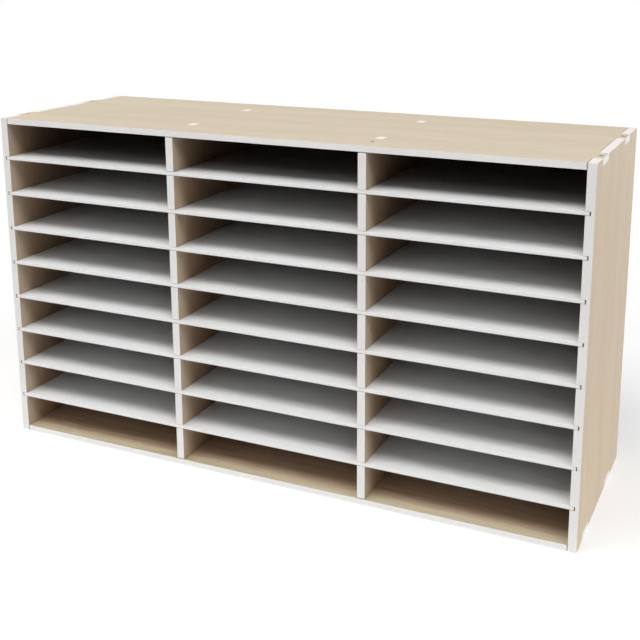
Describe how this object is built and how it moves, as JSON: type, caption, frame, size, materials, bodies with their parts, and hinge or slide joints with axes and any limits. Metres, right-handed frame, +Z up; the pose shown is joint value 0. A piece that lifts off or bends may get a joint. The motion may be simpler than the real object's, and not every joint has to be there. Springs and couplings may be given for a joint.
{
  "type": "pigeonhole mail sorter",
  "caption": "Low wide pigeonhole sorter for letters: slotted wood-grain boards with white edges, thin white shelves that draw out forwards, and a closed back.",
  "frame": {"origin": "middle of the footprint on the underside", "axes": "+Z up, +X to the right seen from the front, -Y towards the open front"},
  "size_m": [0.92, 0.3, 0.522],
  "materials": {
    "laminate_board": "satin",
    "white_board": "satin",
    "hardboard": "matte",
    "screw_steel": "satin"
  },
  "bodies": {
    "case": {"side_left": "laminate_board", "side_right": "laminate_board", "top_panel": "laminate_board", "bottom_panel": "laminate_board", "divider_1": "laminate_board", "divider_2": "laminate_board", "back_panel": "hardboard", "side_screw_top_left_front": "screw_steel", "side_screw_top_right_front": "screw_steel", "side_screw_top_left_rear": "screw_steel", "side_screw_top_right_rear": "screw_steel", "side_screw_bottom_left_front": "screw_steel", "side_screw_bottom_right_front": "screw_steel", "side_screw_bottom_left_rear": "screw_steel", "side_screw_bottom_right_rear": "screw_steel", "divider_screw": "screw_steel"},
    "shelf_1": {"shelf_1": "white_board"},
    "shelf_2": {"shelf_2": "white_board"},
    "shelf_3": {"shelf_3": "white_board"},
    "shelf_4": {"shelf_4": "white_board"},
    "shelf_5": {"shelf_5": "white_board"},
    "shelf_6": {"shelf_6": "white_board"},
    "shelf_7": {"shelf_7": "white_board"},
    "shelf_8": {"shelf_8": "white_board"}
  },
  "joints": [
    {"name": "shelf_1_slide", "type": "slide", "parent": "case", "child": "shelf_1", "axis": [0, -1, 0], "range_m": [0, 0.28]},
    {"name": "shelf_2_slide", "type": "slide", "parent": "case", "child": "shelf_2", "axis": [0, -1, 0], "range_m": [0, 0.28]},
    {"name": "shelf_3_slide", "type": "slide", "parent": "case", "child": "shelf_3", "axis": [0, -1, 0], "range_m": [0, 0.28]},
    {"name": "shelf_4_slide", "type": "slide", "parent": "case", "child": "shelf_4", "axis": [0, -1, 0], "range_m": [0, 0.28]},
    {"name": "shelf_5_slide", "type": "slide", "parent": "case", "child": "shelf_5", "axis": [0, -1, 0], "range_m": [0, 0.28]},
    {"name": "shelf_6_slide", "type": "slide", "parent": "case", "child": "shelf_6", "axis": [0, -1, 0], "range_m": [0, 0.28]},
    {"name": "shelf_7_slide", "type": "slide", "parent": "case", "child": "shelf_7", "axis": [0, -1, 0], "range_m": [0, 0.28]},
    {"name": "shelf_8_slide", "type": "slide", "parent": "case", "child": "shelf_8", "axis": [0, -1, 0], "range_m": [0, 0.28]}
  ]
}
